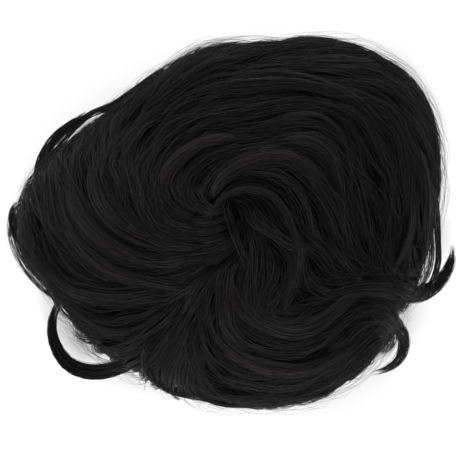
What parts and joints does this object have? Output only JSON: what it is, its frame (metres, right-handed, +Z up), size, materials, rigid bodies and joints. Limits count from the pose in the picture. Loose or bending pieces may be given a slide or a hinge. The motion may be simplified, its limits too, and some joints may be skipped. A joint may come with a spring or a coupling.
{
  "type": "short curly wig",
  "caption": "Short curly wig: a thin head-shaped cap, open below, under overlapping locks of black hair that swirl from one whorl to the hem, resting crown up.",
  "frame": {"origin": "middle of the wig's box, on the surface that the hem rests on", "axes": "+Z up through the crown, +X along the head towards the forehead, +Y towards the wearer's left ear"},
  "size_m": [0.2782, 0.2374, 0.1288],
  "materials": {
    "hair": "soft sheen on black hair fibre",
    "net": "matt black knitted net"
  },
  "bodies": {
    "root": {"cap": "net", "crown_curl_1": "hair", "crown_curl_2": "hair", "crown_curl_3": "hair", "edge_lock_1": "hair", "edge_lock_2": "hair", "edge_lock_3": "hair", "edge_lock_4": "hair", "edge_lock_5": "hair", "edge_lock_6": "hair", "edge_lock_7": "hair", "edge_lock_8": "hair", "fan_lock_1": "hair", "fan_lock_2": "hair", "fan_lock_3": "hair", "front_lock_1": "hair", "front_lock_2": "hair", "front_lock_3": "hair", "front_lock_4": "hair", "front_lock_5": "hair", "front_lock_6": "hair", "front_lock_7": "hair", "hook_curl": "hair", "left_lock_1": "hair", "left_lock_2": "hair", "left_lock_3": "hair", "left_lock_4": "hair", "loop_curl": "hair", "nape_lock_1": "hair", "nape_lock_2": "hair", "nape_lock_3": "hair", "nape_lock_4": "hair", "right_lock_1": "hair", "right_lock_2": "hair", "right_lock_3": "hair", "right_lock_4": "hair", "right_lock_5": "hair", "right_lock_6": "hair", "side_curl_1": "hair", "side_curl_2": "hair", "sweep_lock": "hair", "temple_curl": "hair", "whorl_tuft": "hair"}
  },
  "joints": []
}
